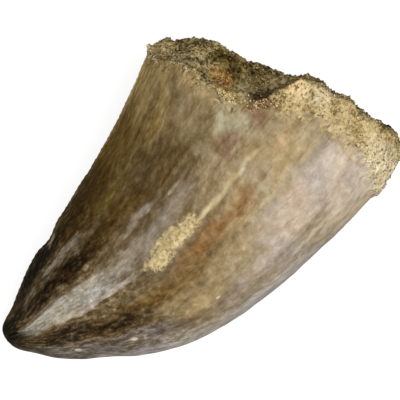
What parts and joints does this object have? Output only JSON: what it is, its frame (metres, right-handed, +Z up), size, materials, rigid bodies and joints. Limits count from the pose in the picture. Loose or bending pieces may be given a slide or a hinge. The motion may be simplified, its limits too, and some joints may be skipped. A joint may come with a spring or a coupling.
{
  "type": "fossil mosasaur tooth",
  "caption": "Stout recurved fossil tooth crown lying on its flank, with a rough collar of root bone and a broken sandy base.",
  "frame": {"origin": "on the resting plane, under the middle of the tooth's bounding box", "axes": "+X from the tip to the broken root, +Y towards the hollow edge of the curve, +Z up from the flank it lies on"},
  "size_m": [0.0543, 0.0337, 0.0249],
  "materials": {
    "fossil_enamel": "satin"
  },
  "bodies": {
    "root": {"tooth": "fossil_enamel"}
  },
  "joints": []
}
